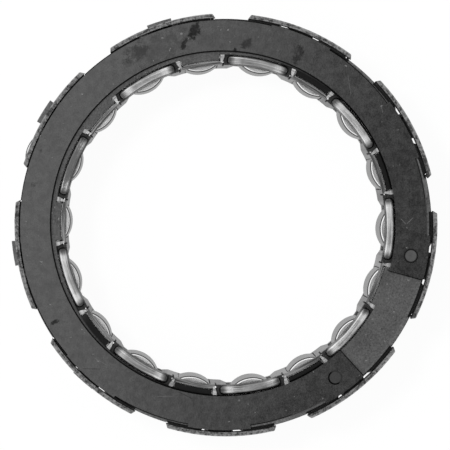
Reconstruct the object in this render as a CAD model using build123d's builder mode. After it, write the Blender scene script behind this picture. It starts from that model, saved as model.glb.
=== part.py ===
"""A caged ring of short rollers, lying flat with its axis along Z, in millimetres.

Eighteen rollers stand in two sheet-steel walls, an outer shell and an inner retainer.  A side
plate closes each end, and a C-shaped wear strip is riveted on each plate.  The ring has no
races of its own.  The origin is on the axis, at the face that the ring lies on.
"""
import os
from math import asin, cos, degrees, radians, sin, sqrt

from build123d import *

# Rollers
pad_count = 9
roller_diameter = 12.7
roller_length = 12.7
roller_edge_radius = 0.45
roller_gap = 1.6345
first_pocket_angle = 18.7
loose_roller = 8
roller_play = 0.35

# How far the rollers stand out of the two walls, to touch the shaft and the housing
reach_inside = 1.15
reach_outside = 0.1

# Sheet thicknesses
shell_sheet = 0.9
retainer_sheet = 0.8
plate_sheet = 1.0
strip_sheet = 0.8

# Clearances
end_clearance = 0.3
pocket_clearance = 0.2
barred_pocket_clearance = 0.6
slot_clearance = 0.25
bar_clearance = 0.13
slot_height_clearance = 0.1
tab_clearance = 0.3
stake_clearance = 0.05
rear_plate_clearance = 0.3
rivet_fit = 0.02

# Outer shell: nine pads, and gaps between them where the wall steps inwards
rail_height = 1.0
gap_width = 7.6
gap_depth = 1.15
pad_end_slant = 0.6
pad_corner_radius = 0.35
pad_turn = -0.2
shell_float = 0.15

# Side plates
plate_edge_inset = 0.48
plate_edge_radius = 0.2
front_nub_width = 4.7
front_nub_inset = 0.15
rear_nub_width = 5.75
rear_nub_length = 1.3
nub_turn = -0.8
rear_plate_shift = 0.52
shift_direction = 148.0
tab_width = 8.35
notch_depth = 1.2

# Wear strips
strip_inner_inset = 0.5
strip_outer_inset = 0.73
strip_offset = 0.7
rear_strip_inset = 0.1
tooth_width = 14.15
tooth_inset = 0.5
tooth_turn = -0.5
opening_middle = -31.6
opening_width = 23.4

# Rivets of the wear strips, each at a distance from its end of the opening
rivet_end_distances = (4.5, 4.9)
rivet_head_diameter = 3.2
rivet_shank_diameter = 2.4
rivet_tail_diameter = 3.4
rivet_tail_height = 0.4

# Inner retainer: a rolled bar at every second pocket, and an ear on each side of the others
rail_recess = 0.1
rail_step = 0.6
rail_overlap = 1.1
mouth_land = 0.25
mouth_depth = 1.25
mouth_widening = 2.0
bar_inset = 0.08
bar_height = 1.6
bar_end_gap = 0.4
bar_corner_radius = 0.95
bar_edge_radius = 0.7
slit_width = 0.4
slit_depth = 6.0
ear_width = 1.1
ear_foot_width = 0.35
ear_height = 1.5
ear_recess = 0.05

# Heights, from the face that the ring lies on
rear_rail_height = strip_sheet + plate_sheet
pocket_bottom = rear_rail_height + rail_height
roller_bottom = pocket_bottom + end_clearance
roller_top = roller_bottom + roller_length
pocket_top = roller_top + end_clearance
front_plate_height = pocket_top + rail_height
front_strip_height = front_plate_height + plate_sheet
total_height = front_strip_height + strip_sheet
pocket_height = pocket_top - pocket_bottom
pocket_middle = (pocket_top + pocket_bottom) / 2

# Angles
roller_count = 2 * pad_count
pocket_pitch = 360 / roller_count
pad_pitch = 360 / pad_count
bar_angle = first_pocket_angle + pocket_pitch
between_pockets = first_pocket_angle + pocket_pitch / 2
pad_angle = between_pockets + pad_turn
gap_angle = pad_angle - pad_pitch / 2
nub_angle = between_pockets + nub_turn
tooth_angle = between_pockets + tooth_turn

# Radii, worked outwards and inwards from the circle of roller axes
roller_radius = roller_diameter / 2
pitch_radius = (roller_diameter + roller_gap) / 2 / sin(radians(pocket_pitch / 2))
retainer_inner_radius = pitch_radius - roller_radius + reach_inside
retainer_outer_radius = retainer_inner_radius + retainer_sheet
tab_radius = retainer_outer_radius + tab_clearance
notch_radius = tab_radius + notch_depth
pad_outer_radius = pitch_radius + roller_radius - reach_outside
pad_inner_radius = pad_outer_radius - shell_sheet
gap_outer_radius = pad_outer_radius - gap_depth
gap_inner_radius = gap_outer_radius - shell_sheet
plate_radius_at_pads = pad_inner_radius - plate_edge_inset
bar_inner_radius = retainer_inner_radius - bar_inset
bar_outer_radius = notch_radius - bar_clearance
rear_rail_radius = retainer_inner_radius + rail_step
rear_plate_room = rear_plate_shift + rear_plate_clearance
rear_plate_inner_radius = rear_rail_radius + retainer_sheet + rear_plate_room
rear_plate_outer_radius = pad_inner_radius - shell_float - rear_plate_room
strip_inner_radius = notch_radius + strip_inner_inset
strip_outer_radius = gap_outer_radius - strip_outer_inset
rivet_radius = (strip_inner_radius + strip_outer_radius) / 2


def polar(radius, angle, height=0.0):
    """The point at a radius and an angle in degrees."""
    return Vector(radius * cos(radians(angle)), radius * sin(radians(angle)), height)


def half_angle(width, radius):
    """Half the angle that a width takes up on a circle."""
    return degrees(asin(width / 2 / radius))


def half_chord(distance):
    """Half the width of a roller at a distance from its axis."""
    return sqrt(roller_radius**2 - distance**2)


rear_centre = polar(rear_plate_shift, shift_direction)
strip_centre = polar(strip_offset, shift_direction)
gap_half = half_angle(gap_width, pad_outer_radius)
pad_half = pad_pitch / 2 - gap_half
step_angle = 2 * half_angle(shell_sheet, gap_inner_radius)
slant_angle = 2 * half_angle(pad_end_slant, pad_outer_radius)
tab_half = half_angle(tab_width, tab_radius)
ear_near = half_angle(tab_width + 2 * tab_clearance, tab_radius)
ear_far = ear_near + 2 * half_angle(ear_width, notch_radius)
bar_half = pocket_pitch - ear_far - 2 * half_angle(bar_end_gap, notch_radius)
opening_half = half_angle(opening_width, rivet_radius)
rivet_angles = (
    opening_middle + opening_half + 2 * half_angle(rivet_end_distances[0], rivet_radius),
    opening_middle - opening_half - 2 * half_angle(rivet_end_distances[1], rivet_radius),
)


def sector(inner_radius, outer_radius, inner_half, outer_half):
    """A stretch of a ring across the X axis.  Its ends lean where the half angles differ."""
    with BuildSketch() as face:
        with BuildLine():
            outer_arc = ThreePointArc(
                polar(outer_radius, -outer_half),
                polar(outer_radius, 0),
                polar(outer_radius, outer_half),
            )
            inner_arc = ThreePointArc(
                polar(inner_radius, -inner_half),
                polar(inner_radius, 0),
                polar(inner_radius, inner_half),
            )
            Line(outer_arc @ 1, inner_arc @ 1)
            Line(inner_arc @ 0, outer_arc @ 0)
        make_face()
    return face.sketch


def around(first_angle):
    """The nine places round the ring, from the one at an angle."""
    return PolarLocations(0, pad_count, start_angle=first_angle)


def finish(part, name):
    """Label a finished piece and write it out."""
    part.label = name
    export_step(part, f"parts/{name}.step")


def pad_face(inner_radius):
    """A pad's wall in plan, with leaning ends and rounded outer corners."""
    with BuildSketch() as face:
        add(sector(inner_radius, pad_outer_radius, pad_half, pad_half - slant_angle))
        outer_corners = face.vertices().sort_by_distance((0, 0, 0))[-2:]
        fillet(outer_corners, radius=pad_corner_radius)
    return face.sketch


def make_outer_shell():
    """The outer wall: a closed stepped ring with pockets, and pads that run past both plates."""
    with BuildPart() as outer_shell:
        with BuildSketch(Plane((shell_float, 0, rear_rail_height))):
            with around(gap_angle):
                reach = gap_half + step_angle
                add(sector(gap_inner_radius, gap_outer_radius, reach, reach))
            with around(pad_angle):
                add(pad_face(gap_inner_radius))
            with around(pad_angle):
                hollow = pad_half - step_angle
                below = gap_inner_radius - shell_sheet
                inside = sector(below, pad_inner_radius, hollow, hollow)
                add(inside, mode=Mode.SUBTRACT)
        extrude(amount=front_plate_height - rear_rail_height)
        with BuildSketch(Plane((shell_float, 0, 0))):
            with around(pad_angle):
                add(pad_face(pad_inner_radius))
        extrude(amount=total_height)
        # One pocket for each roller, open through the wall
        nearest_wall = gap_inner_radius - shell_float - pitch_radius - roller_play
        pocket_width = 2 * (half_chord(nearest_wall) + pocket_clearance)
        wall_depth = 2 * (gap_depth + shell_sheet)
        with Locations((0, 0, pocket_middle)):
            with PolarLocations(gap_outer_radius, roller_count, start_angle=first_pocket_angle):
                Box(wall_depth, pocket_width, pocket_height, mode=Mode.SUBTRACT)
        # One slot near each end of a pad, for the nubs of the two side plates
        slot_height = plate_sheet + 2 * slot_height_clearance
        slots = (
            (front_strip_height - plate_sheet / 2, front_nub_width),
            (strip_sheet + plate_sheet / 2, rear_nub_width),
        )
        for slot_middle, nub_width in slots:
            slot_width = nub_width + 2 * slot_clearance
            with Locations((0, 0, slot_middle)):
                with PolarLocations(pad_outer_radius, pad_count, start_angle=nub_angle):
                    Box(wall_depth, slot_width, slot_height, mode=Mode.SUBTRACT)
    finish(outer_shell.part, "outer_shell")


def ear_foot_half(radius):
    """The angle from a tab's middle to the far side of the ear's foot beside it."""
    return ear_near + 2 * half_angle(ear_foot_width, radius)


def ear_face(side):
    """An ear in plan: straight beside the plate's tab, and spreading outwards on its far side."""
    foot_radius = retainer_inner_radius + retainer_sheet / 2
    tip_radius = notch_radius - stake_clearance
    foot_far = ear_foot_half(foot_radius)
    corners = (
        polar(foot_radius, side * ear_near),
        polar(tip_radius, side * ear_near),
        polar(tip_radius, side * ear_far),
        polar(foot_radius, side * foot_far),
    )
    with BuildSketch() as face:
        with BuildLine():
            Polyline(*corners, close=True)
        make_face()
    return face.sketch


def rolled_bar():
    """The rail rolled outwards into a rounded bar, across the X axis."""
    with BuildPart() as bar:
        with BuildSketch(Plane.XY.offset(front_strip_height - bar_height)) as plan:
            add(sector(bar_inner_radius, bar_outer_radius, bar_half, bar_half))
            fillet(plan.vertices(), radius=bar_corner_radius)
        extrude(amount=bar_height)
        top = bar.faces().sort_by(Axis.Z)[-1]
        fillet(top.edges(), radius=bar_edge_radius)
    return bar.part


def retainer_ring(half):
    """A stretch of ring, across the X axis, that runs right through the inner wall."""
    outside = retainer_outer_radius + retainer_sheet
    inside = retainer_inner_radius - retainer_sheet
    return sector(inside, outside, half, half)


def pocket_mouth(pocket_width):
    """A barred pocket's mouth in plan, across the X axis: it widens towards the shaft."""
    near = pocket_width / 2
    far = near + mouth_widening
    outer_side = sqrt(retainer_outer_radius**2 - near**2) - mouth_land
    inner_side = outer_side - mouth_depth
    corners = ((outer_side, -near), (outer_side, near), (inner_side, far), (inner_side, -far))
    with BuildSketch() as face:
        with BuildLine():
            Polyline(*corners, close=True)
        make_face()
    return face.sketch


def retainer_wall():
    """The inner wall with its pockets, stepped rear rail, upright front rails and slits."""
    wall_top = front_strip_height - rail_recess
    wall_bottom = strip_sheet + rail_recess
    foot_far = ear_foot_half(retainer_inner_radius)
    roller_half = half_chord(pitch_radius - retainer_outer_radius)
    pocket_width = 2 * (roller_half + barred_pocket_clearance)
    pocket_half = half_angle(pocket_width, retainer_outer_radius)
    wall_radius = (retainer_inner_radius + retainer_outer_radius) / 2
    with BuildPart() as wall:
        with BuildSketch(Plane.XY.offset(wall_bottom)):
            Circle(retainer_outer_radius)
            Circle(retainer_inner_radius, mode=Mode.SUBTRACT)
        extrude(amount=wall_top - wall_bottom)
        # The front rail is cut away between the ears, where the bars go
        with BuildSketch(Plane.XY.offset(front_plate_height)):
            with around(bar_angle):
                add(retainer_ring(pocket_pitch - foot_far))
        extrude(amount=wall_top - front_plate_height, mode=Mode.SUBTRACT)
        # Pockets: round sides that guide the rollers, but straight and wider behind the bars
        with Locations((0, 0, pocket_middle)):
            with PolarLocations(pitch_radius, pad_count, start_angle=first_pocket_angle):
                Cylinder(roller_radius + pocket_clearance, pocket_height, mode=Mode.SUBTRACT)
            with PolarLocations(wall_radius, pad_count, start_angle=bar_angle):
                Box(3 * retainer_sheet, pocket_width, pocket_height, mode=Mode.SUBTRACT)
        # Behind each barred pocket the rear rail steps outwards
        with BuildSketch(Plane.XY.offset(wall_bottom)):
            with around(bar_angle):
                add(retainer_ring(pocket_half))
        extrude(amount=pocket_bottom - wall_bottom, mode=Mode.SUBTRACT)
        with BuildSketch(Plane.XY.offset(wall_bottom)):
            with around(bar_angle):
                add(pocket_mouth(pocket_width))
        extrude(amount=pocket_top - wall_bottom, mode=Mode.SUBTRACT)
        rail_half = pocket_half + 2 * half_angle(rail_overlap, retainer_outer_radius)
        rail_outer_radius = rear_rail_radius + retainer_sheet
        with BuildSketch(Plane.XY.offset(wall_bottom)):
            with around(bar_angle):
                add(sector(rear_rail_radius, rail_outer_radius, rail_half, rail_half))
        extrude(amount=pocket_bottom - wall_bottom)
        # A relief slit beside each ear parts it from the bar next to it
        slit_half = half_angle(slit_width, retainer_inner_radius)
        with BuildSketch(Plane.XY.offset(front_plate_height)):
            with around(first_pocket_angle + foot_far + slit_half):
                add(retainer_ring(slit_half))
            with around(first_pocket_angle - foot_far - slit_half):
                add(retainer_ring(slit_half))
        extrude(amount=-slit_depth, mode=Mode.SUBTRACT)
    return wall.part


def make_inner_retainer():
    """The inner wall, with an ear at each end of its upright rails, and the bars between."""
    inner_wall = retainer_wall()
    bar = rolled_bar()
    with BuildPart() as inner_retainer:
        add(inner_wall)
        with BuildSketch(Plane.XY.offset(front_strip_height - ear_recess - ear_height)):
            with around(first_pocket_angle):
                add(ear_face(-1))
                add(ear_face(1))
        extrude(amount=ear_height)
        with around(bar_angle):
            add(bar)
    finish(inner_retainer.part, "inner_retainer")


def make_front_side_plate():
    """The front plate, with a tab at every second pocket and a nub in each pad's slot."""
    nub_radius = pad_outer_radius - front_nub_inset
    nub_half = half_angle(front_nub_width, nub_radius)
    hole_diameter = rivet_shank_diameter + 2 * rivet_fit
    with BuildPart() as front_side_plate:
        with BuildSketch(Plane.XY.offset(front_plate_height)):
            Circle(plate_radius_at_pads)
            with around(gap_angle):
                add(sector(tab_radius, gap_outer_radius, gap_half, gap_half))
            Circle(notch_radius, mode=Mode.SUBTRACT)
            with around(first_pocket_angle):
                add(sector(tab_radius, rivet_radius, tab_half, tab_half))
        extrude(amount=plate_sheet)
        # The punched edge is rounded over at the gaps, where it shows
        front_edges = front_side_plate.edges().group_by(Axis.Z)[-1]
        lobe_edges = front_edges.filter_by(GeomType.CIRCLE).group_by(lambda edge: edge.radius)[-1]
        fillet(lobe_edges, radius=plate_edge_radius)
        with BuildSketch(Plane.XY.offset(front_plate_height)):
            with around(nub_angle):
                add(sector(rivet_radius, nub_radius, nub_half, nub_half))
        extrude(amount=plate_sheet)
        with Locations([polar(rivet_radius, angle, front_strip_height) for angle in rivet_angles]):
            Hole(hole_diameter / 2, depth=plate_sheet)
    finish(front_side_plate.part, "front_side_plate")


def make_rear_side_plate():
    """The rear plate, which lies a little to one side and shows its nubs outside the pads."""
    nub_radius = pad_outer_radius + rear_nub_length
    nub_half = half_angle(rear_nub_width, nub_radius)
    hole_diameter = rivet_shank_diameter + 2 * rivet_fit
    with BuildPart() as rear_side_plate:
        with BuildSketch(Plane.XY.offset(strip_sheet)):
            # The nubs stay in line with their slots, and end on a circle about the plate's centre
            with around(nub_angle):
                add(sector(rivet_radius, nub_radius + rear_plate_shift, nub_half, nub_half))
            with Locations(rear_centre):
                Circle(nub_radius, mode=Mode.INTERSECT)
                Circle(rear_plate_outer_radius)
                Circle(rear_plate_inner_radius, mode=Mode.SUBTRACT)
            with Locations([rear_centre + polar(rivet_radius, angle) for angle in rivet_angles]):
                Circle(hole_diameter / 2, mode=Mode.SUBTRACT)
        extrude(amount=plate_sheet)
    finish(rear_side_plate.part, "rear_side_plate")


def make_wear_strip(name, height, body_centre, inner_radius, floor_radius, tooth_radius, centre):
    """A flat C with teeth under the pads; its body may lie off the centre of its teeth."""
    tooth_half = half_angle(tooth_width, tooth_radius)
    head_hole_radius = rivet_head_diameter / 2 + rivet_fit
    with BuildPart() as wear_strip:
        with BuildSketch(Plane(centre + Vector(0, 0, height))):
            with Locations(body_centre):
                Circle(floor_radius)
            Circle(tooth_radius, mode=Mode.INTERSECT)
            with around(tooth_angle):
                add(sector(rivet_radius, tooth_radius, tooth_half, tooth_half))
            with Locations(body_centre):
                Circle(inner_radius, mode=Mode.SUBTRACT)
            within = inner_radius - 2 * strip_offset
            beyond = tooth_radius + strip_offset
            with PolarLocations(0, 1, start_angle=opening_middle):
                opening = sector(within, beyond, opening_half, opening_half)
                add(opening, mode=Mode.SUBTRACT)
            with Locations([polar(rivet_radius, angle) for angle in rivet_angles]):
                Circle(head_hole_radius, mode=Mode.SUBTRACT)
        extrude(amount=strip_sheet)
    finish(wear_strip.part, name)


def make_rivets(name, centre, face_height, inwards):
    """The two rivets of a wear strip, flush with its face, their tails under the plate."""
    with BuildPart() as rivets:
        for angle in rivet_angles:
            foot = centre + polar(rivet_radius, angle, face_height)
            facing = Plane(foot, z_dir=(0, 0, inwards))
            with BuildSketch(facing):
                Circle(rivet_head_diameter / 2)
            extrude(amount=strip_sheet)
            with BuildSketch(facing.offset(strip_sheet)):
                Circle(rivet_shank_diameter / 2)
            extrude(amount=plate_sheet)
            with BuildSketch(facing.offset(strip_sheet + plate_sheet)):
                Circle(rivet_tail_diameter / 2)
            extrude(amount=rivet_tail_height)
    finish(rivets.part, name)


def make_roller(index):
    """One hardened roller with rounded end edges, in its pocket."""
    radius = pitch_radius
    if index == loose_roller:
        radius = pitch_radius + roller_play
    foot = polar(radius, first_pocket_angle + pocket_pitch * (index - 1), roller_bottom)
    with BuildPart() as roller:
        with BuildSketch(Plane(foot)):
            Circle(roller_radius)
        extrude(amount=roller_length)
        fillet(roller.edges().filter_by(GeomType.CIRCLE), radius=roller_edge_radius)
    finish(roller.part, f"roller_{index:02d}")


os.makedirs("parts", exist_ok=True)
make_outer_shell()
make_inner_retainer()
make_front_side_plate()
make_rear_side_plate()
make_wear_strip(
    "front_wear_strip",
    front_strip_height,
    strip_centre,
    strip_inner_radius,
    strip_outer_radius,
    pad_inner_radius - tooth_inset,
    Vector(0, 0, 0),
)
make_wear_strip(
    "rear_wear_strip",
    0.0,
    Vector(0, 0, 0),
    rear_plate_inner_radius + rear_strip_inset,
    rear_plate_outer_radius - rear_strip_inset,
    rear_plate_outer_radius - rear_strip_inset / 2,
    rear_centre,
)
make_rivets("front_rivets", Vector(0, 0, 0), total_height, -1)
make_rivets("rear_rivets", rear_centre, 0.0, 1)
for roller_index in range(1, roller_count + 1):
    make_roller(roller_index)
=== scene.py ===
"""A caged ring of short steel rollers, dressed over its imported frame. Units are metres."""

import math

import bpy
import numpy as np
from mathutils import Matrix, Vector


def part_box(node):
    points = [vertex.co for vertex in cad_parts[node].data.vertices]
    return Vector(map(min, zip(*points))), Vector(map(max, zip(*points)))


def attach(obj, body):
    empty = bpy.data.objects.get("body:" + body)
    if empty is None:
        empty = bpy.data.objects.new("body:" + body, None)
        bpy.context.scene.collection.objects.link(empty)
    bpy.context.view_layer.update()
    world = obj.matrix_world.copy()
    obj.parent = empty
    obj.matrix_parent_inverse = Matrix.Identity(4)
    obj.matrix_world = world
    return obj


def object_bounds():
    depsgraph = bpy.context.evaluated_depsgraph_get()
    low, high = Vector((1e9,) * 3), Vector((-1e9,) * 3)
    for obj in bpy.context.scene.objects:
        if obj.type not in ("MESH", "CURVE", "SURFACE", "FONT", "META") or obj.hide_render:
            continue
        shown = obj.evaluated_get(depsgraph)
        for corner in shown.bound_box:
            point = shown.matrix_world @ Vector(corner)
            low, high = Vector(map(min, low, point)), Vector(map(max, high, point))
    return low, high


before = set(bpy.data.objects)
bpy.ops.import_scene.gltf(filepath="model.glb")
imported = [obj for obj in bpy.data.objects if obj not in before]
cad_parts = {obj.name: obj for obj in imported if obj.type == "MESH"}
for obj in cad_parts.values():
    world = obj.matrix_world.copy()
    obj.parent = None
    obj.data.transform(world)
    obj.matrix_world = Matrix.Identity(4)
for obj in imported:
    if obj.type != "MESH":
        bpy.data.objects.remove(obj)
cad_low, cad_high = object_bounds()

# The photograph looks down on the ring from about half a metre above its front face, so the
# far ends of the rollers come out a little smaller than the near ones. The camera stood a
# little to the upper left of the axis, so the far side is seen moved to the upper left.
front_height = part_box("outer_shell")[1].z
camera_distance = 0.560
camera_aside = 0.0137
camera_side_angle = math.radians(150)
width_in_view = 0.10105
sensor_width = 0.036
aim = Vector((-0.00016, 0.00003, front_height))
camera_data = bpy.data.cameras.new("camera")
camera_data.sensor_width = sensor_width * 1000
camera_data.lens = sensor_width * 1000 * camera_distance / width_in_view
camera_data.clip_start = 0.01
camera = bpy.data.objects.new("camera", camera_data)
aside = Vector((math.cos(camera_side_angle), math.sin(camera_side_angle), 0)) * camera_aside
camera.location = aim + aside + Vector((0, 0, camera_distance))
looking_down = Vector((0, 0, -1))
camera.rotation_euler = looking_down.rotation_difference(aim - camera.location).to_euler()
bpy.context.collection.objects.link(camera)
bpy.context.scene.camera = camera


# The outer shell is stamped and rolled from thin sheet, then phosphated to a dull granular
# grey. The front edges of its pads are sheared, so they are brighter than the walls, and
# brightest along the outer corner, where handling has rubbed them.
class Value:
    """A number or colour on its way through a node tree; arithmetic on it adds Math nodes."""

    def __init__(self, tree, socket):
        self.tree = tree
        self.socket = socket

    def maths(self, operation, first, second=0.0):
        """One Math node."""
        sockets = {0: first, 1: second}
        return add_node(self.tree, "ShaderNodeMath", {"operation": operation}, sockets)

    def __add__(self, other):
        return self.maths("ADD", self, other)

    def __sub__(self, other):
        return self.maths("SUBTRACT", self, other)

    def __rsub__(self, other):
        return self.maths("SUBTRACT", other, self)

    def __mul__(self, other):
        return self.maths("MULTIPLY", self, other)

    def __truediv__(self, other):
        return self.maths("DIVIDE", self, other)

    def __pow__(self, other):
        return self.maths("POWER", self, other)

    def __abs__(self):
        return self.maths("ABSOLUTE", self)

    __radd__ = __add__
    __rmul__ = __mul__

    def angle(self, x):
        """The angle round the ring, in degrees, where this value is y."""
        return self.maths("ARCTAN2", self, x) * math.degrees(1)

    def from_nearest(self, middle, spacing):
        """How far this angle is from the nearest of the angles that lie a spacing apart."""
        return self.maths("PINGPONG", self + (720 - middle), spacing / 2)

    def step(self, low, high):
        """A soft step, 0 below low and 1 above high; it falls where low is above high."""
        settings = {"interpolation_type": "SMOOTHSTEP"}
        first, last = (low, high) if low < high else (high, low)
        sockets = {"Value": self, "From Min": first, "From Max": last}
        rising = add_node(self.tree, "ShaderNodeMapRange", settings, sockets)
        return rising if low < high else 1 - rising

    def parts(self):
        """The three numbers of a vector."""
        return [add_node(self.tree, "ShaderNodeSeparateXYZ", None, {0: self}, i) for i in range(3)]


def add_node(tree, kind, settings=None, sockets=None, output=0):
    """Any node: its settings first, then what its sockets hold or are linked to."""
    made = tree.nodes.new(kind)
    for setting, choice in (settings or {}).items():
        setattr(made, setting, choice)
    for socket, held in (sockets or {}).items():
        if isinstance(held, Value):
            tree.links.new(held.socket, made.inputs[socket])
        else:
            made.inputs[socket].default_value = held
    return Value(tree, made.outputs[output])


class Finish:
    """A material on one principled shader."""

    def __init__(self, name, tone, metallic, roughness):
        self.material = bpy.data.materials.new(name)
        self.material.use_nodes = True
        self.tree = self.material.node_tree
        self.shader = self.tree.nodes["Principled BSDF"]
        self.set("Base Color", grey(tone))
        self.set("Metallic", metallic)
        self.set("Roughness", roughness)

    def set(self, socket, value):
        """Sets one of the shader's own sockets to the same value all over."""
        self.shader.inputs[socket].default_value = value

    def feed(self, socket, value):
        """Links a value that changes over the surface to one of the shader's own sockets."""
        self.tree.links.new(value.socket, self.shader.inputs[socket])

    def place(self):
        """The place on the piece, in millimetres."""
        point = add_node(self.tree, "ShaderNodeTexCoord", output=3)
        sockets = {0: point, "Scale": 1000.0}
        return add_node(self.tree, "ShaderNodeVectorMath", {"operation": "SCALE"}, sockets)

    def join(self, x, y, z):
        """A vector of three numbers."""
        return add_node(self.tree, "ShaderNodeCombineXYZ", None, {0: x, 1: y, 2: z})

    def noise(self, place, scale, detail, seed):
        """Soft cloudy noise from 0 to 1, with so many grains to a millimetre."""
        sockets = {"Vector": place, "W": seed, "Scale": scale, "Detail": detail}
        return add_node(self.tree, "ShaderNodeTexNoise", {"noise_dimensions": "4D"}, sockets)

    def mix(self, factor, first, second):
        """A colour between two colours."""
        sockets = {0: factor, 6: first, 7: second}
        return add_node(self.tree, "ShaderNodeMix", {"data_type": "RGBA"}, sockets, 2)

    def bump(self, height, depth):
        """Relief of a depth in metres."""
        sockets = {"Height": height, "Distance": depth}
        self.feed("Normal", add_node(self.tree, "ShaderNodeBump", None, sockets))

    def put_on(self, *nodes):
        """Gives the finish to pieces of the frame."""
        for name in nodes:
            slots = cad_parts[name].data.materials
            slots.clear()
            slots.append(self.material)


def grey(tone):
    """A neutral colour."""
    return (tone, tone, tone, 1)


def shell_finish():
    """Phosphate with coarse and fine grain; the sheared edges are brighter."""
    finish = Finish("phosphated_shell", 0.12, 0.3, 0.6)
    place = finish.place()
    x, y, z = place.parts()
    low, high = (corner * 1000 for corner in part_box("outer_shell"))
    float_to_side = 0.15
    pad_edge_radius = 47.5
    centred = x - float_to_side
    radius = (centred * centred + y * y) ** 0.5
    sheared = z.step(high.z - 0.03, high.z - 0.01) + z.step(low.z + 0.03, low.z + 0.01)
    coarse = finish.noise(place, 1.1, 3.0, 0.0)
    grain = finish.noise(place, 3.4, 3.0, 4.0)
    along = finish.join(0.25 * x, 0.25 * y, 3.0 * radius)
    torn = finish.noise(along, 1.0, 3.0, 9.0)
    tone = 0.4 * grain.step(0.3, 0.72) + 0.3 * coarse.step(0.3, 0.7) + 0.3 * torn.step(0.3, 0.7)
    wall = finish.mix(tone, grey(0.012), grey(0.06))
    edge = finish.mix(tone.step(0.2, 0.8), grey(0.025), grey(0.23))
    brightened = radius.step(pad_edge_radius - 0.3, pad_edge_radius - 0.1) * coarse.step(0.35, 0.6)
    edge = finish.mix(0.6 * brightened, edge, grey(0.34))
    finish.feed("Base Color", finish.mix(sheared, wall, edge))
    finish.feed("Roughness", 0.5 + 0.2 * grain)
    finish.bump(grain, 0.00004)
    return finish


shell_finish().put_on("outer_shell")


# The side plates are blanked from the same phosphated sheet. The front one shows bare in the
# opening of the wear strip, where its grain, small pits and pale specks catch the light. Painted
# shadow darkens the corners along the strip's edges and ends and under the pads' edges, and
# painted shade leaves most of the tabs nearly black.
def plate_finish():
    """Granular phosphate with small pits and a few pale specks, painted shadow in the corners and
    painted shade on the tabs.
    """
    finish = Finish("phosphated_plate", 0.08, 0.25, 0.6)
    place = finish.place()
    x, y, z = place.parts()
    tab_radius = 38.3
    strip_x, strip_y = -0.594, 0.371
    strip_inner_radius = 38.875
    strip_outer_radius = 45.645
    strip_ends = (312.33, 344.47)
    first_pad_angle = 28.5
    pad_spacing = 40
    lit_side_x, lit_side_y = math.cos(math.radians(142)), math.sin(math.radians(142))
    opening_x, opening_y = math.cos(math.radians(-31.6)), math.sin(math.radians(-31.6))
    radius = (x * x + y * y) ** 0.5
    strip_across = x - strip_x
    strip_up = y - strip_y
    from_strip = (strip_across * strip_across + strip_up * strip_up) ** 0.5
    grain = finish.noise(place, 2.2, 4.0, 0.0)
    fine = finish.noise(place, 5.0, 3.0, 2.0)
    clouds = finish.noise(place, 0.22, 3.0, 7.0)
    tone = 0.45 * grain.step(0.32, 0.68) + 0.3 * fine.step(0.3, 0.7) + 0.25 * clouds.step(0.3, 0.7)
    base = finish.mix(tone, grey(0.03), grey(0.112))
    pits = finish.noise(place, 1.6, 2.0, 5.0).step(0.38, 0.30)
    specks = finish.noise(place, 1.5, 1.0, 11.0).step(0.70, 0.76)
    base = finish.mix(0.7 * pits, base, grey(0.015))
    base = finish.mix(0.5 * specks, base, grey(0.3))
    rim = from_strip.step(strip_outer_radius + 0.2, strip_outer_radius + 0.5)
    in_opening = (opening_x * x + opening_y * y).step(34.9, 35.3)
    base = finish.mix((0.4 - 0.28 * in_opening) * rim * tone, base, grey(0.3))
    # Painted shade: the tabs go nearly black except on the upper left and in the opening.
    lit_side = (lit_side_x * x + lit_side_y * y).step(10.0, 20.0)
    painted_tab_shade = radius.step(tab_radius + 0.5, tab_radius) * (1 - lit_side) * (1 - in_opening)
    base = finish.mix(0.92 * painted_tab_shade, base, grey(0.008))
    # Painted shadow along the strip's inner and outer edges, under the pads' edges and beside the
    # strip's ends.
    inner_corner = from_strip.step(strip_inner_radius - 0.42, strip_inner_radius - 0.18)
    inner_corner = inner_corner * from_strip.step(40, 39.5) * (1 - in_opening)
    outer_corner = from_strip.step(strip_outer_radius + 0.36, strip_outer_radius + 0.16)
    outer_corner = outer_corner * from_strip.step(44.5, 45) * (1 - in_opening)
    from_pad = y.angle(x).from_nearest(first_pad_angle, pad_spacing)
    under_pad = from_pad.step(15.4, 15.1) * radius.step(45.78, 45.92) * radius.step(46.9, 46.6)
    painted_shadow = inner_corner + outer_corner + under_pad
    for end in strip_ends:
        end_x, end_y = math.cos(math.radians(end)), math.sin(math.radians(end))
        past = abs(y * end_x - x * end_y) + (x * end_x + y * end_y).step(5, -5)
        painted_shadow = past.step(0.3, 0.14) * radius.step(37.5, 38.5) + painted_shadow
    finish.feed("Base Color", finish.mix(0.9 * painted_shadow, base, grey(0.004)))
    finish.feed("Metallic", 0.2 + 0.6 * painted_tab_shade + 0.7 * painted_shadow)
    finish.feed("Roughness", 0.5 + 0.2 * grain)
    finish.bump(grain - 0.6 * pits, 0.00005)
    return finish


plate_finish().put_on("front_side_plate", "rear_side_plate")


# The wear strips are flat spring-steel Cs with a smooth satin black oxide. Handling has left
# cloudy patches, dark stains, hairline scratches and dust on the front one.
def ring_spot(angle, radius):
    """The place at an angle in degrees and a radius in millimetres."""
    return radius * math.cos(math.radians(angle)), radius * math.sin(math.radians(angle))


def blot(x, y, ragged, angle, radius, length, width, turn):
    """1 inside a ragged ellipse: the squares of its two shares add up to less than one."""
    middle_x, middle_y = ring_spot(angle, radius)
    turned_x, turned_y = ring_spot(turn, 1)
    along = ((x - middle_x) * turned_x + (y - middle_y) * turned_y) / (length / 2)
    across = ((y - middle_y) * turned_x - (x - middle_x) * turned_y) / (width / 2)
    return (along * along + across * across + ragged).step(1.7, 0.3)


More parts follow.
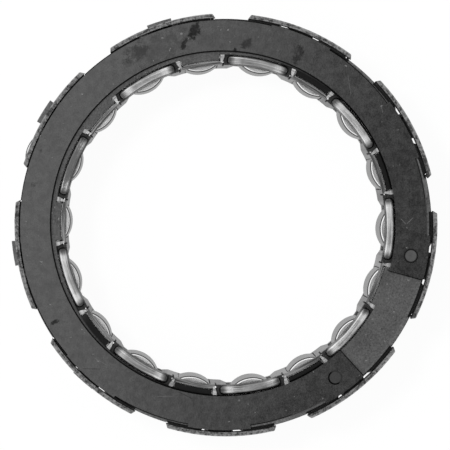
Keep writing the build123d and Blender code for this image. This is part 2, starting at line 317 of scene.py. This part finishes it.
def scratch(x, y, start, end, width):
    """1 near the straight line between two places on the ring, each an angle and a radius."""
    start_x, start_y = ring_spot(*start)
    end_x, end_y = ring_spot(*end)
    length = math.hypot(end_x - start_x, end_y - start_y)
    towards_x = (end_x - start_x) / length
    towards_y = (end_y - start_y) / length
    along = (x - start_x) * towards_x + (y - start_y) * towards_y
    across = abs((y - start_y) * towards_x - (x - start_x) * towards_y)
    inside = along.step(0, 0.3) * along.step(length, length - 0.3)
    return across.step(width, 0) * inside


def strip_finish():
    """Smooth black oxide: cloudy, with stains, scratches and dust on the front."""
    finish = Finish("black_oxide", 0.025, 0.0, 0.25)
    finish.set("Specular IOR Level", 1.0)
    place = finish.place()
    x, y, z = place.parts()
    clouds = finish.noise(place, 0.14, 4.0, 0.0)
    mottle = finish.noise(place, 0.7, 5.0, 3.0)
    grain = finish.noise(place, 2.6, 3.0, 5.0)
    tone = 0.2 * clouds.step(0.3, 0.7) + 0.4 * mottle.step(0.36, 0.64) + 0.4 * grain.step(0.36, 0.64)
    oxide = finish.mix(tone, grey(0.001), grey(0.035))
    ragged = 5.0 * mottle + 3.0 * grain - 4.0
    stains = (
        blot(x, y, ragged, 99, 44.2, 3.6, 2.2, 62)
        + 0.8 * blot(x, y, ragged, 103, 41.6, 2.6, 1.0, 70)
        + 0.7 * blot(x, y, ragged, 83.5, 40.8, 2.6, 2.0, 20)
        + 0.7 * blot(x, y, ragged, 67, 41.6, 4.0, 1.8, 67)
        + blot(x, y, ragged, 87, 39.4, 0.8, 0.8, 0)
        + blot(x, y, ragged, 209.5, 44.3, 1.8, 0.9, 205)
        + 0.4 * blot(x, y, ragged, 117, 43.6, 5.0, 3.0, 30)
        + 0.22 * blot(x, y, ragged, 111, 42.4, 15.0, 6.0, 21)
        + 0.5 * blot(x, y, ragged, 158, 44.6, 1.0, 0.6, 70)
        + 0.5 * blot(x, y, ragged, 168, 44.0, 1.4, 1.2, 0)
    )
    front = z.step(10, 11)
    stained = front * stains
    oxide = finish.mix(0.85 * stained, oxide, grey(0.003))
    marks = (
        scratch(x, y, (0.2, 40.6), (2.2, 39.4), 0.12)
        + scratch(x, y, (0.2, 40.6), (2.4, 42.3), 0.12)
        + 0.6 * scratch(x, y, (46, 40.5), (51, 43.6), 0.10)
        + 0.7 * scratch(x, y, (35.4, 43.4), (37.4, 44.0), 0.16)
        + 0.6 * scratch(x, y, (248, 41.5), (253, 40.2), 0.10)
        + 0.5 * scratch(x, y, (225, 42.0), (230, 41.2), 0.10)
    )
    lines = scratch(x, y, (225, 45.6), (229, 42.8), 0.12)
    lines = scratch(x, y, (254, 38.9), (259.5, 39.8), 0.12) + lines
    dust = finish.noise(place, 1.3, 1.0, 21.0).step(0.73, 0.78)
    oxide = finish.mix(0.8 * front * lines, oxide, grey(0.003))
    pale = 0.3 * front * marks + 0.35 * front * dust
    finish.feed("Base Color", finish.mix(pale, oxide, grey(0.30)))
    finish.feed("Metallic", 0.7 * stained + 0.5 * front * lines)
    finish.feed("Roughness", 0.11 + 0.07 * clouds + 0.06 * grain)
    finish.bump(grain + 1.5 * mottle, 0.000006)
    return finish


strip_finish().put_on("front_wear_strip", "rear_wear_strip")


# Two rivets hold each wear strip, one near each of its ends. Their heads are ground flush with
# the strip and have taken the same oxide; a ring of painted shade lies round each head, even on
# one and heavier towards the lower left on the other.
def rivet_finish():
    """Ground and oxidised rivet steel, one head paler than the other."""
    finish = Finish("rivet_steel", 0.04, 0.0, 0.45)
    place = finish.place()
    x, y, z = place.parts()
    low, high = (corner * 1000 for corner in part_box("front_rivets"))
    tail_radius = 1.7
    head_radius = 1.6
    heads = (
        (high.x - tail_radius, high.y - tail_radius, 0.85, 0.85),
        (low.x + tail_radius, low.y + tail_radius, 1.0, 0.35),
    )
    grain = finish.noise(place, 3.0, 3.0, 0.0)
    clouds = finish.noise(place, 1.1, 3.0, 3.0)
    paler = x.step(low.x + 5, high.x - 5)
    dark = finish.mix(grain, grey(0.01), grey(0.04))
    pale = finish.mix(0.5 * grain + 0.5 * clouds, grey(0.02), grey(0.10))
    head = finish.mix(paler, dark, pale)
    rim = 0.0
    for head_x, head_y, strong, weak in heads:
        across = x - head_x
        up = y - head_y
        apart = (across * across + up * up) ** 0.5
        # Painted shade: the dark ring round each head, heavier towards the lower left on the second
        # head.
        strength = weak + (strong - weak) * (0.81 * across + 0.59 * up).step(0.5, -0.3)
        shade_ring = apart.step(head_radius - 0.42, head_radius - 0.22) * apart.step(2.2, 1.9)
        rim = strength * shade_ring + rim
    finish.feed("Base Color", finish.mix(rim, head, grey(0.002)))
    finish.feed("Metallic", 0.1 + 0.9 * rim)
    finish.feed("Roughness", 0.4 + 0.2 * grain)
    finish.bump(grain, 0.00001)
    return finish


rivet_finish().put_on("front_rivets", "rear_rivets")


# The inner retainer is bright drawn sheet. Its rolled bars are brushed along their length, the
# upright rails between them show a sheared granular edge, and the ears are freshly bent. Painted
# shade darkens the folds beside and below the bars and the bars' ends, painted highlights lie near
# the bar ends, and a few bars carry grime.
def retainer_finish():
    """Bright sheet brushed round the ring, with painted shade in its folds and painted highlights
    near the bar ends.
    """
    finish = Finish("bright_sheet", 0.5, 1.0, 0.3)
    finish.set("Specular Tint", grey(0.6))
    place = finish.place()
    x, y, z = place.parts()
    bar_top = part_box("inner_retainer")[1].z * 1000
    rail_top = bar_top - 0.1
    first_bar_angle = 38.7
    bar_spacing = 40
    # The angle of each grimy bar, how far the grime runs along it, and how dark it is
    grimy_bars = ((158, 13.0, 0.9), (79, 11.0, 0.4), (237, 9.0, 0.45), (280, 10.0, 0.5))
    radius = (x * x + y * y) ** 0.5
    turn = y.angle(x).from_nearest(first_bar_angle, bar_spacing)
    along = finish.join(5.0 * x / radius, 5.0 * y / radius, 3.0 * radius)
    brushed = finish.noise(along, 1.0, 4.0, 0.0)
    grain = finish.noise(place, 3.0, 3.0, 2.0)
    clouds = finish.noise(place, 0.5, 3.0, 6.0)
    tone = 0.6 * brushed.step(0.38, 0.62) + 0.15 * grain + 0.25 * clouds.step(0.3, 0.7)
    sheet = finish.mix(tone, grey(0.22), grey(0.84))
    # Painted highlight on the bar tops near each end.
    brightened = turn.step(5.0, 6.8) * turn.step(8.8, 7.6) * z.step(bar_top - 0.7, bar_top - 0.1)
    sheet = finish.mix(0.5 * brightened, sheet, grey(0.98))
    ragged = 3.0 * brushed + 2.0 * grain - 2.5
    bar_radius = 37.1
    grime = 0.0
    for bar_grime in grimy_bars:
        angle, reach, strength = bar_grime
        patch = blot(x, y, ragged, angle, bar_radius, reach, 4.0, angle + 90)
        grime = strength * patch + grime
    sheet = finish.mix(grime * z.step(14, 15), sheet, grey(0.12))
    # Painted shade on the sheet more than 2 mm below the bar tops.
    deep_shade = z.step(bar_top - 1.7, bar_top - 2.2)
    sheet = finish.mix(0.45 * deep_shade, sheet, grey(0.05))
    # Painted shade at each bar's ends.
    bar_end_shade = turn.step(7.9, 10.1) * turn.step(11.9, 11.6) * z.step(15, 16)
    sheet = finish.mix(0.9 * bar_end_shade, sheet, grey(0.04))
    # Painted shadow in the fold just under each bar's top.
    shadow_below_bar_top = z.step(bar_top - 0.04, bar_top - 0.6) * z.step(bar_top - 1.7, bar_top - 1.2)
    sheet = finish.mix(0.85 * shadow_below_bar_top, sheet, grey(0.05))
    rail = z.step(rail_top - 0.03, rail_top - 0.01) * z.step(rail_top + 0.03, rail_top + 0.01)
    sheared = finish.mix(brushed.step(0.38, 0.62), grey(0.07), grey(0.34))
    finish.feed("Base Color", finish.mix(rail, sheet, sheared))
    finish.feed("Roughness", 0.28 + 0.2 * grain)
    finish.bump(brushed + 0.3 * grain, 0.00003)
    return finish


retainer_finish().put_on("inner_retainer")


# Black beads fill the corners beside each bar's ends and along the inside of the pads,
# under the front plate's edges: a dark mesh of painted shade where the view down between the
# sheets falls into shade. It stops the view down between the sheets there.
def shade_bead(angle, half_turn, inner_radius, outer_radius, bottom, top):
    """A low arc of painted shade in mm and degrees: a squarish section swept round, drawn in at its
    ends.
    """
    along, around = 24, 16
    share = np.linspace(-1, 1, along)
    swell = (1 - share**8) ** 0.5 + 0.02
    turn = np.radians(angle + half_turn * share)
    section = np.linspace(0, 2 * np.pi, around, endpoint=False)
    outwards = np.sign(np.cos(section)) * np.abs(np.cos(section)) ** 0.5
    upwards = np.sign(np.sin(section)) * np.abs(np.sin(section)) ** 0.5
    half_width = (outer_radius - inner_radius) / 2
    half_height = (top - bottom) / 2
    radius = (inner_radius + outer_radius) / 2 + half_width * np.outer(swell, outwards)
    height = (top + bottom) / 2 + half_height * np.outer(swell, upwards)
    x = radius * np.cos(turn)[:, None]
    y = radius * np.sin(turn)[:, None]
    points = np.stack([x, y, height], axis=2).reshape(-1, 3) / 1000
    first = np.arange(along - 1)[:, None] * around + np.arange(around)
    beside = np.arange(along - 1)[:, None] * around + (np.arange(around) + 1) % around
    walls = np.stack([first, first + around, beside + around, beside], axis=2).reshape(-1, 4)
    near_end = tuple(range(around))
    far_end = tuple(reversed(range((along - 1) * around, along * around)))
    return points, walls, (near_end, far_end)


def shade_filler(name, body):
    """Four beads to each of the nine bars, in one mesh: two beside it and two under a pad."""
    bar_spacing = 40
    plate_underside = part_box("front_side_plate")[0].z * 1000
    roller_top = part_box("roller_01")[1].z * 1000
    # The angle of each bead of the first four, half its turn, and its inner and outer radius
    beads = (
        (27.6, 2.1, 36.8, 38.9),
        (49.8, 2.1, 36.8, 38.9),
        (18.8, 4.7, 45.8, 46.85),
        (39.4, 4.6, 45.8, 46.85),
    )
    points = np.empty((0, 3))
    faces = []
    for bar in range(9):
        for first_angle, half_turn, inner_radius, outer_radius in beads:
            angle = first_angle + bar_spacing * bar
            heights = (roller_top + 0.35, plate_underside - 0.05)
            bead, walls, ends = shade_bead(angle, half_turn, inner_radius, outer_radius, *heights)
            start = len(points)
            faces += (walls + start).tolist()
            faces += [[corner + start for corner in end] for end in ends]
            points = np.vstack([points, bead])
    mesh = bpy.data.meshes.new(name)
    mesh.from_pydata(points.tolist(), [], faces)
    piece = bpy.data.objects.new(name, mesh)
    bpy.context.collection.objects.link(piece)
    # The beads are painted shade: a near-black mesh set in the shaded gaps.
    finish = Finish("shade_black", 0.01, 0.0, 0.35)
    thick = finish.noise(finish.place(), 1.5, 3.0, 0.0)
    finish.feed("Base Color", finish.mix(thick, grey(0.004), grey(0.02)))
    finish.feed("Roughness", 0.3 + 0.3 * thick)
    mesh.materials.append(finish.material)
    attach(piece, body)


shade_filler("shade_filler", "cage")


# The rollers are through-hardened steel, ground round their sides and face-ground on their
# ends, with a rounded edge between. A painted highlight lies on the edge, painted shade just below
# it.
def roller_finish(name, seed):
    """Ground steel: a lay round the side and on the ends, each roller's a little different."""
    low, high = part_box(name)
    middle = (low + high) * 500
    top = high.z * 1000
    side_radius = (high.x - low.x) * 500
    edge_radius = 0.45
    finish = Finish(f"{name}_steel", 0.5, 1.0, 0.26)
    finish.set("Specular Tint", grey(0.45))
    place = finish.place()
    x, y, z = place.parts()
    across = x - middle.x
    up = y - middle.y
    radius = (across * across + up * up) ** 0.5
    above = abs(z - middle.z)
    half_length = top - middle.z
    lay = finish.join(0.4 * across, 0.4 * up, 4.0 * radius + 5.0 * z)
    ground = finish.noise(lay, 1.0, 3.0, seed)
    stain = finish.noise(place, 0.3, 3.0, seed + 30)
    tone = 0.6 * ground.step(0.3, 0.7) + 0.4 * stain
    side = finish.mix(tone, grey(0.41), grey(0.56))
    end_face = finish.mix(tone, grey(0.45), grey(0.85))
    on_end = above.step(half_length - edge_radius, half_length - 0.02)
    steel = finish.mix(on_end, side, end_face)
    # Painted highlight on the rounded edge of each end.
    edge_highlight = radius.step(side_radius - edge_radius, side_radius - 0.38)
    steel = finish.mix(0.8 * on_end * edge_highlight, steel, grey(0.95))
    # Painted shade: a thin dark line on the side just below the rounded edge.
    near_end = above.step(half_length - 0.9, half_length - 0.6)
    dark = near_end * radius.step(side_radius - 0.26, side_radius - 0.18)
    finish.feed("Base Color", finish.mix(0.85 * dark, steel, grey(0.04)))
    finish.feed("Roughness", 0.2 + 0.14 * stain)
    finish.bump(ground, 0.000003)
    finish.put_on(name)


for number in range(1, 19):
    roller_finish(f"roller_{number:02d}", number * 1.7)


# The ring lies on a plain white sheet, which looks white to the camera and in reflections and
# still keeps the ring's shadow.
def seen_directly(tree):
    """1 for rays from the camera, or by way of metal or glass."""
    ray = tree.nodes.new("ShaderNodeLightPath")
    kinds = ("Is Camera Ray", "Is Glossy Ray", "Is Transmission Ray")
    camera_ray, glossy_ray, through_ray = [Value(tree, ray.outputs[kind]) for kind in kinds]
    return camera_ray + glossy_ray + through_ray


def white_sheet(half_width, height):
    """A flat square of four corners, in the plane that the ring lies on."""
    corners = np.array([(-1, -1), (1, -1), (1, 1), (-1, 1)]) * half_width
    points = np.column_stack([corners, np.full(4, height)])
    mesh = bpy.data.meshes.new("white_sheet")
    mesh.from_pydata(points.tolist(), [], [(0, 1, 2, 3)])
    sheet = bpy.data.objects.new("white_sheet", mesh)
    bpy.context.collection.objects.link(sheet)
    finish = Finish("white_paper", 0.95, 0.0, 0.9)
    glow_share = 0.95
    glow = add_node(finish.tree, "ShaderNodeEmission", None, {"Color": grey(1), "Strength": 1.0})
    shaded = Value(finish.tree, finish.shader.outputs[0])
    sockets = {0: glow_share * seen_directly(finish.tree), 1: shaded, 2: glow}
    both = add_node(finish.tree, "ShaderNodeMixShader", None, sockets)
    finish.tree.links.new(both.socket, finish.tree.nodes["Material Output"].inputs["Surface"])
    mesh.materials.append(finish.material)


white_sheet(1.5, cad_low.z - 0.00002)


# Plain soft studio light: a white room that is brighter on the upper left and dark towards the
# horizon, and a softbox there for the small shadows beside each step. The satin strip mirrors
# the room, so it comes out paler on the left; the softbox itself is out of the steel's sight.
def white_room():
    """A room white to the camera; as a light it fades downwards and to the lower right."""
    room = bpy.data.worlds.new("room")
    room.use_nodes = True
    tree = room.node_tree
    x, y, z = add_node(tree, "ShaderNodeTexCoord", output=3).parts()
    bright_x, bright_y = math.cos(math.radians(163)), math.sin(math.radians(163))
    bright_side = (bright_x * x + bright_y * y).step(-0.095, 0.035)
    ring = (x * x + y * y).step(0.06, 0.16)
    above = 1.17 * bright_side + (1 - bright_side) * (0.05 + 0.75 * ring)
    fading = 0.08 + 0.92 * z.step(0.15, 0.75)
    ray = tree.nodes.new("ShaderNodeLightPath")
    camera_ray = Value(tree, ray.outputs["Is Camera Ray"])
    strength = camera_ray + (1 - camera_ray) * above * fading
    background = tree.nodes["Background"]
    background.inputs["Color"].default_value = grey(1)
    tree.links.new(strength.socket, background.inputs["Strength"])
    bpy.context.scene.world = room


def softbox(name, place, size, watts):
    """A square lamp that faces the ring and isn't mirrored in it."""
    data = bpy.data.lights.new(name, "AREA")
    data.size = size
    data.energy = watts
    lamp = bpy.data.objects.new(name, data)
    lamp.location = place
    lamp.rotation_euler = (-Vector(place)).to_track_quat("-Z", "Y").to_euler()
    lamp.visible_glossy = False
    bpy.context.collection.objects.link(lamp)


white_room()
softbox("softbox", (-0.25, 0.145, 0.64), 0.12, 2.5)
bpy.context.scene.view_settings.view_transform = "Standard"
